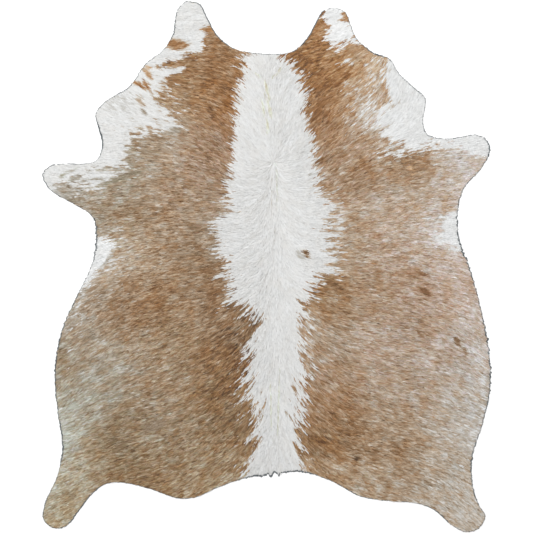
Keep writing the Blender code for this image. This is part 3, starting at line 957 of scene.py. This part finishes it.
def sum_node(tree, operation, *values):
    """Result of one sum on numbers or other sockets."""
    inputs = dict(enumerate(values))
    return add_node(tree, "ShaderNodeMath", inputs, operation=operation).outputs[0]


def vector_node(tree, operation, inputs):
    """Result of one sum on vectors or colours."""
    return add_node(tree, "ShaderNodeVectorMath", inputs, operation=operation).outputs[0]


def noise_node(tree, grain):
    """Noise that stays with the object, from 0 to 1."""
    place = add_node(tree, "ShaderNodeTexCoord").outputs["Object"]
    inputs = {"Vector": place, **dict(zip(("Scale", "Detail", "Roughness"), grain))}
    return add_node(tree, "ShaderNodeTexNoise", inputs).outputs["Fac"]


def ramp_node(tree, value, stops):
    """Colour of a value between stops, each a position and a display colour."""
    ramp = add_node(tree, "ShaderNodeValToRGB", {"Fac": value})
    elements = ramp.color_ramp.elements
    while len(elements) < len(stops):
        elements.new(0.5)
    for element, (position, colour) in zip(elements, stops):
        element.position = position
        element.color = linear(colour)
    return ramp.outputs["Color"]


def bump_node(tree, height, strength, distance):
    """Normals of a fine relief."""
    bump = add_node(tree, "ShaderNodeBump", {
        "Height": height, "Strength": strength, "Distance": distance,
    })
    return bump.outputs["Normal"]


def coat_palette():
    """Shader group that turns a hair's depth, warmth and cast into its colour."""
    group = bpy.data.node_groups.new("coat colour", "ShaderNodeTree")
    for name in ("Depth", "Warmth", "Cast", "Brightness"):
        group.interface.new_socket(name, in_out="INPUT", socket_type="NodeSocketFloat")
    group.interface.new_socket("Color", in_out="OUTPUT", socket_type="NodeSocketColor")
    given = group.nodes.new("NodeGroupInput").outputs
    result = group.nodes.new("NodeGroupOutput")
    ash, golden = (
        ramp_node(group, given["Depth"], [(row["depth"], row[shade]) for row in HAIR_COLOURS])
        for shade in ("ash", "golden")
    )
    mix = add_node(group, "ShaderNodeMix", {0: given["Warmth"], 6: ash, 7: golden}, data_type="RGBA")
    lean = vector_node(group, "SCALE", {0: CAST_TINT, "Scale": given["Cast"]})
    tint = vector_node(group, "ADD", {0: lean, 1: (1.0, 1.0, 1.0)})
    tinted = vector_node(group, "MULTIPLY", {0: mix.outputs[2], 1: tint})
    bright = vector_node(group, "SCALE", {0: tinted, "Scale": given["Brightness"]})
    group.links.new(bright, result.inputs["Color"])
    return group


def hair_material(palette):
    """Short cow hair. Each lock carries its own tone in its UV map: depth from left to right, and
    warmth from bottom to top in each of three strips, rosy, plain and olive."""
    material, tree, shader = new_material("cow hair")
    tones = add_node(tree, "ShaderNodeUVMap", uv_map="OFBake").outputs["UV"]
    split = add_node(tree, "ShaderNodeSeparateXYZ", {"Vector": tones}).outputs
    wave = sum_node(tree, "MULTIPLY", split["Y"], 2 * pi * STRANDS_ACROSS)
    strand = sum_node(tree, "SINE", wave)
    strips = sum_node(tree, "MULTIPLY", split["Y"], CASTS)
    warmth = add_node(tree, "ShaderNodeMapRange", {
        "Value": sum_node(tree, "FRACT", strips), "From Min": CAST_MARGIN, "From Max": 1 - CAST_MARGIN,
    })
    colour = add_node(tree, "ShaderNodeGroup", {
        "Depth": split["X"],
        "Warmth": warmth.outputs[0],
        "Cast": sum_node(tree, "SUBTRACT", sum_node(tree, "FLOOR", strips), 1.0),
        "Brightness": sum_node(tree, "MULTIPLY_ADD", strand, STRAND_CONTRAST, 1.0),
    }, node_tree=palette)
    set_inputs(tree, shader, {
        "Base Color": colour.outputs["Color"],
        "Roughness": sum_node(tree, "MULTIPLY_ADD", strand, STRAND_ROUGHNESS, HAIR_ROUGHNESS),
        "Specular IOR Level": 0.35,
    })
    return material


def roots_material(palette):
    """Skin and hair roots under the coat, in the coat's own pattern."""
    material, tree, shader = new_material("hair roots")
    tones = {
        name: add_node(tree, "ShaderNodeAttribute", attribute_name=name.lower()).outputs["Fac"]
        for name in ("Depth", "Warmth", "Cast")
    }
    grain = noise_node(tree, ROOTS_GRAIN)
    bright = sum_node(tree, "MULTIPLY_ADD", grain, ROOTS_CONTRAST, ROOTS_BRIGHTNESS)
    colour = add_node(tree, "ShaderNodeGroup", {**tones, "Brightness": bright}, node_tree=palette)
    set_inputs(tree, shader, {"Base Color": colour.outputs["Color"], "Roughness": 0.8})
    return material


def suede_material():
    """The flesh side: pale grey suede with a short nap, brushed darker and lighter in places."""
    material, tree, shader = new_material("grey suede")
    nap = noise_node(tree, NAP_GRAIN)
    both = sum_node(tree, "MULTIPLY_ADD", nap, NAP_CONTRAST, noise_node(tree, BRUSHED_GRAIN))
    set_inputs(tree, shader, {
        "Base Color": ramp_node(tree, both, SUEDE_COLOURS),
        "Normal": bump_node(tree, nap, 0.5, NAP_DEPTH),
        "Roughness": 0.95,
        "Sheen Weight": 0.25,
    })
    return material


def edge_and_shadow_material():
    """The cut edge of the leather: slate grey from tanning, with darker and paler stretches. Its
    darkest stretches are also painted shadow along the rim.
    """
    material, tree, shader = new_material("slate cut edge and painted shadow")
    set_inputs(tree, shader, {
        "Base Color": ramp_node(tree, noise_node(tree, EDGE_AND_SHADOW_GRAIN), EDGE_AND_SHADOW_COLOURS),
        "Normal": bump_node(tree, noise_node(tree, FIBRE_GRAIN), 0.4, FIBRE_DEPTH),
        "Roughness": 0.85,
    })
    return material


def floor_material():
    """Plain pale studio floor."""
    material, tree, shader = new_material("pale floor")
    shade = add_node(tree, "ShaderNodeMapRange", {
        "Value": noise_node(tree, FLOOR_GRAIN), "To Min": FLOOR_SHADES[0], "To Max": FLOOR_SHADES[1],
    })
    set_inputs(tree, shader, {
        "Base Color": shade.outputs[0],
        "Roughness": 0.9,
        "Specular IOR Level": 0.1,
    })
    return material


# The skin.

def add_object(name, data):
    """A new object in the scene, at the origin."""
    thing = bpy.data.objects.new(name, data)
    bpy.context.collection.objects.link(thing)
    return thing


def store_values(data, name, kind, values):
    """Keep one value or vector for each point of a mesh."""
    layer = data.attributes.new(name, kind, "POINT")
    layer.data.foreach_set("vector" if kind == "FLOAT_VECTOR" else "value", values.ravel())


def grid_places(rim, step, clearance):
    """Staggered grid of places on the hide, clear of its rim."""
    rows = np.arange(-GRID_HALF[1], GRID_HALF[1], step * sin(GRID_SLANT))
    places = []
    for k, along in enumerate(rows):
        across = np.arange(-GRID_HALF[0], GRID_HALF[0], step) + 0.5 * step * (k % 2)
        places.append(np.stack([across, np.full_like(across, along)], axis=1))
    places = np.vstack(places)
    return places[rim.depth_of(places)[0] > clearance]


def fill_ring(mesh, ring_verts, places, height, slot, facing_up):
    """Close a ring of the skin with a flat net of triangles through the given places."""
    ring = [Vector(vert.co[:2]) for vert in ring_verts]
    flat = ring + [Vector(p) for p in places.tolist()]
    edges = [(i, (i + 1) % len(ring)) for i in range(len(ring))]
    spots, _, triangles, sources, _, _ = delaunay_2d_cdt(flat, edges, [], 1, SAME_POINT)
    verts = []
    for spot, source in zip(spots, sources):
        if source and source[0] < len(ring):
            verts.append(ring_verts[source[0]])
        else:
            verts.append(mesh.verts.new((spot.x, spot.y, height)))
    for triangle in triangles:
        corners = [verts[i] for i in triangle]
        face = mesh.faces.new(corners if facing_up else corners[::-1])
        face.material_index = slot


def build_skin(rim, materials):
    """The tanned skin: a closed sheet with its suede down, its cut edge, and its hair side up."""
    mesh = bmesh.new()
    rings = []
    for row in RINGS:
        inset = np.full(len(rim.ring), row["inset"])
        if row is RINGS[-1]:
            inset = np.maximum(inset, rim.reveal + ROOTS_INSET)
        places = rim.ring - inset[:, None] * rim.normals
        rings.append([mesh.verts.new((x, y, row["height"])) for x, y in places])
    for row, lower, upper in zip(RINGS[1:], rings, rings[1:]):
        for i, corner in enumerate(lower):
            j = (i + 1) % len(lower)
            face = mesh.faces.new((corner, lower[j], upper[j], upper[i]))
            face.material_index = row["material"]
    under = grid_places(rim, UNDER_STEP, UNDER_CLEARANCE)
    fill_ring(mesh, rings[0], under, 0.0, SUEDE, False)
    top = grid_places(rim, TOP_STEP, TOP_CLEARANCE)
    fill_ring(mesh, rings[-1], top, LEATHER, ROOTS, True)
    data = bpy.data.meshes.new("skin")
    mesh.to_mesh(data)
    mesh.free()
    for material in materials:
        data.materials.append(material)
    data.shade_smooth()
    places = np.empty(len(data.vertices) * 3)
    data.vertices.foreach_get("co", places)
    across, along, _ = places.reshape(-1, 3).T
    tones = coat_tone(across, along, np.zeros((4, len(across))))
    for name, values in zip(("depth", "warmth", "cast"), tones):
        store_values(data, name, "FLOAT", values)
    return add_object("skin", data)


# The coat.

def lock_object(shape):
    """One tapered lock of hair, a metre long and wide, to be scaled: root, belly and tip."""
    corners = [
        (0.0, -ROOT_HALF, 0.0),
        (0.0, ROOT_HALF, 0.0),
        (BELLY_AHEAD, shape["belly"] - 0.5, BELLY_UP),
        (BELLY_AHEAD, shape["belly"] + 0.5, BELLY_UP),
        (1.0, shape["tip"], 1.0),
    ]
    data = bpy.data.meshes.new("lock " + shape["lock"])
    data.from_pydata(corners, [], [(0, 2, 1), (1, 2, 3), (2, 4, 3)])
    data.shade_smooth()
    parts = [(ahead, min(max(aside, -0.5), 0.5), 0.0) for ahead, aside, _ in corners]
    store_values(data, "part", "FLOAT_VECTOR", np.array(parts))
    return bpy.data.objects.new("lock " + shape["lock"], data)


def coat_tree():
    """Geometry Nodes that lay a lock of hair on every point, turned, sized and toned as it says."""
    tree = bpy.data.node_groups.new("lay the coat", "GeometryNodeTree")
    tree.is_modifier = True
    sockets = [("Geometry", "Geometry")]
    sockets += [("Lock " + shape["lock"], "Object") for shape in LOCK_SHAPES]
    sockets += [("Tip and root shade span", "Float"), ("Strand span", "Float"), ("Hair", "Material")]
    for name, kind in sockets:
        tree.interface.new_socket(name, in_out="INPUT", socket_type="NodeSocket" + kind)
    tree.interface.new_socket("Geometry", in_out="OUTPUT", socket_type="NodeSocketGeometry")
    given = tree.nodes.new("NodeGroupInput").outputs
    result = tree.nodes.new("NodeGroupOutput")

    def named(name, kind):
        """An attribute of the points or of the locks."""
        node = add_node(tree, "GeometryNodeInputNamedAttribute", {"Name": name}, data_type=kind)
        return node.outputs["Attribute"]

    def within(value):
        """A place in the UV map, kept clear of its border."""
        limits = {"Value": value, "Min": UV_MARGIN, "Max": 1 - UV_MARGIN}
        return add_node(tree, "ShaderNodeClamp", limits).outputs[0]

    join = tree.nodes.new("GeometryNodeJoinGeometry")
    for shape in reversed(LOCK_SHAPES):
        lock = add_node(tree, "GeometryNodeObjectInfo", {"Object": given["Lock " + shape["lock"]]})
        one = add_node(tree, "GeometryNodeGeometryToInstance", {0: lock.outputs["Geometry"]})
        tree.links.new(one.outputs[0], join.inputs[0])
    turn = add_node(tree, "FunctionNodeEulerToRotation", {0: named("turn", "FLOAT_VECTOR")})
    lay = add_node(tree, "GeometryNodeInstanceOnPoints", {
        "Points": given["Geometry"],
        "Instance": join.outputs[0],
        "Pick Instance": True,
        "Instance Index": named("shape", "INT"),
        "Rotation": turn.outputs[0],
        "Scale": named("size", "FLOAT_VECTOR"),
    })
    real = add_node(tree, "GeometryNodeRealizeInstances", {0: lay.outputs[0]})

    part = add_node(tree, "ShaderNodeSeparateXYZ", {0: named("part", "FLOAT_VECTOR")}).outputs
    tone = add_node(tree, "ShaderNodeSeparateXYZ", {0: named("tone", "FLOAT_VECTOR")}).outputs
    # Each lock's depth rises toward its root: the hair's paler tips, and painted shade at the roots.
    back = sum_node(tree, "SUBTRACT", 0.5, part["X"])
    depth = sum_node(tree, "MULTIPLY_ADD", back, given["Tip and root shade span"], tone["X"])
    strip = sum_node(tree, "MULTIPLY_ADD", part["Y"], given["Strand span"], tone["Y"])
    pair = add_node(tree, "ShaderNodeCombineXYZ", {"X": within(depth), "Y": within(strip)})
    store = add_node(tree, "GeometryNodeStoreNamedAttribute", {"Name": "OFBake"},
                     data_type="FLOAT2", domain="CORNER")
    set_inputs(tree, store, {"Geometry": real.outputs[0], "Value": pair.outputs[0]})
    paint = add_node(tree, "GeometryNodeSetMaterial", {
        "Geometry": store.outputs[0], "Material": given["Hair"],
    })
    tree.links.new(paint.outputs[0], result.inputs["Geometry"])
    return tree


def socket_key(tree, name):
    """Identifier of one of a tree's named inputs."""
    for item in tree.interface.items_tree:
        if item.item_type == "SOCKET" and item.in_out == "INPUT" and item.name == name:
            return item.identifier


def plan_coat(rim):
    """Root, direction, size and tone of every lock, as arrays."""
    random = np.random.default_rng(LOCK_SEED)
    across, along = np.meshgrid(*(np.arange(-half, half, COAT_STEP) for half in COAT_HALF))
    roots = np.stack([across.ravel(), along.ravel()], axis=1)
    roots += random.uniform(-0.5, 0.5, roots.shape) * COAT_STEP
    inside, nearest = rim.depth_of(roots)
    keep = inside > rim.reveal[nearest] + ROOT_CLEARANCE
    roots, inside, nearest = roots[keep], inside[keep], nearest[keep]
    across, along = roots.T
    count = len(roots)
    chance = random.standard_normal((4, count))

    flow = hair_flow(across, along)
    together = np.radians(SWERVE_TOGETHER) * LATTICES["mottle"].at(across, along)
    yaw = np.arctan2(flow[1], flow[0]) + together
    yaw += np.radians(SWERVE) * random.standard_normal(count)
    rise = np.radians(random.uniform(*RISE, count))
    length = LOCK_LENGTH * random.uniform(*LENGTHS, count)
    length *= 1 - SHORT_RIM * np.exp(-inside / SHORT_REACH)
    direction = np.stack([np.cos(yaw), np.sin(yaw)], axis=1)
    tips = roots + direction * length[:, None]
    near = inside < TIP_REACH
    tip_inside = np.full(count, np.inf)
    tip_inside[near] = rim.depth_of(tips[near])[0]
    wanted = rim.reveal[nearest] - TIP_FRINGE * random.uniform(0, 1, count) ** 2
    wanted += TIP_FRINGE * rim.rough[nearest] * BURRS.at(across, along)
    share = (inside - wanted) / np.maximum(inside - tip_inside, NOT_ZERO)
    length = np.where(tip_inside < wanted, length * np.clip(share, SHORTEST, 1.0), length)

    middle = roots + direction * (MIDDLE * length)[:, None]
    depth, warmth, cast = coat_tone(middle[:, 0], middle[:, 1], chance)
    strip = np.clip(np.floor(cast + 1 + random.uniform(0, 1, count)), 0, CASTS - 1)
    in_strip = CAST_MARGIN + (1 - 2 * CAST_MARGIN) * warmth
    width = LOCK_WIDTH * random.uniform(*WIDTHS, count) * np.clip(length / THIN_LENGTH, THINNEST, 1.0)
    lift = np.maximum(length * np.sin(rise), LEAST_LIFT)
    height = random.uniform(LEATHER - ROOT_DEPTH, LEATHER + ROOT_HEIGHT, count)
    roll = np.radians(random.uniform(-ROLL, ROLL, count))
    level = np.zeros(count)
    return {
        "place": np.stack([across, along, height], axis=1),
        "turn": np.stack([roll, level, yaw], axis=1),
        "size": np.stack([length, width, lift], axis=1),
        "tone": np.stack([depth, (strip + in_strip) / CASTS, level], axis=1),
        "shape": random.integers(0, len(LOCK_SHAPES), count),
    }


def lay_coat(name, plan, rows, tree, locks, hair):
    """One part of the coat, as a plain mesh."""
    data = bpy.data.meshes.new(name)
    data.vertices.add(len(rows))
    data.vertices.foreach_set("co", plan["place"][rows].ravel())
    for key in ("turn", "size", "tone"):
        store_values(data, key, "FLOAT_VECTOR", plan[key][rows])
    store_values(data, "shape", "INT", plan["shape"][rows])
    holder = add_object(name + "_roots", data)
    modifier = holder.modifiers.new("coat", "NODES")
    modifier.node_group = tree
    for shape, lock in zip(LOCK_SHAPES, locks):
        modifier[socket_key(tree, "Lock " + shape["lock"])] = lock
    modifier[socket_key(tree, "Tip and root shade span")] = TIP_AND_ROOT_SHADE_SPAN
    modifier[socket_key(tree, "Strand span")] = STRAND_SPAN
    modifier[socket_key(tree, "Hair")] = hair
    evaluated = holder.evaluated_get(bpy.context.evaluated_depsgraph_get())
    made = bpy.data.meshes.new_from_object(evaluated)
    bpy.data.objects.remove(holder)
    made.name = name
    for key in ("turn", "size", "tone", "shape", "part"):
        if key in made.attributes:
            made.attributes.remove(made.attributes[key])
    return add_object(name, made)


# Camera, light and floor.

def add_camera():
    """Straight above the middle of the hide, with the neck at the top of the picture."""
    camera = add_object("camera", bpy.data.cameras.new("camera"))
    camera.data.lens = LENS
    camera.data.sensor_width = SENSOR
    camera.data.clip_end = VIEW_END
    camera.location = (0.0, 0.0, CAMERA_HEIGHT)
    bpy.context.scene.camera = camera


def add_lights():
    """Plain soft studio light: a large lamp over the neck's left, a weaker one opposite, pale sky."""
    for row in LIGHTS:
        lamp = bpy.data.lights.new(row["light"], "AREA")
        lamp.shape = "DISK"
        lamp.size = row["size"]
        lamp.energy = row["power"]
        thing = add_object(row["light"], lamp)
        thing.location = row["at"]
        thing.rotation_euler = (-Vector(row["at"])).to_track_quat("-Z", "Y").to_euler()
    world = bpy.data.worlds.new("studio")
    world.use_nodes = True
    sky = world.node_tree.nodes["Background"]
    sky.inputs["Color"].default_value = (1.0, 1.0, 1.0, 1.0)
    sky.inputs["Strength"].default_value = SKY
    bpy.context.scene.world = world
    bpy.context.scene.view_settings.view_transform = "Standard"


def add_floor():
    """A large plain floor under the rug."""
    half = FLOOR_SIZE / 2
    corners = [(-half, -half), (half, -half), (half, half), (-half, half)]
    data = bpy.data.meshes.new("floor")
    data.from_pydata([(x, y, -FLOOR_DROP) for x, y in corners], [], [(0, 1, 2, 3)])
    data.materials.append(floor_material())
    add_object("floor", data)


add_camera()
add_lights()
add_floor()

ring = smooth_ring(cad_outline(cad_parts[SKIN_NODE].data), RIM_STEP)
shown, rough = edge_character(ring)
rim = Rim(cut_roughly(ring, rough), outward_normals(ring), shown, rough)

palette = coat_palette()
hair = hair_material(palette)
skin = build_skin(rim, [suede_material(), edge_and_shadow_material(), roots_material(palette)])

plan = plan_coat(rim)
order = np.argsort(-plan["place"][:, 1], kind="stable")
locks = [lock_object(shape) for shape in LOCK_SHAPES]
laying = coat_tree()
coats = []
for name, rows in zip(COAT_PARTS, np.array_split(order, len(COAT_PARTS))):
    coats.append(lay_coat("coat_" + name, plan, np.sort(rows), laying, locks, hair))
for lock in locks:
    bpy.data.objects.remove(lock)

for piece in [skin] + coats:
    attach(piece, "root")
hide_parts(SKIN_NODE)
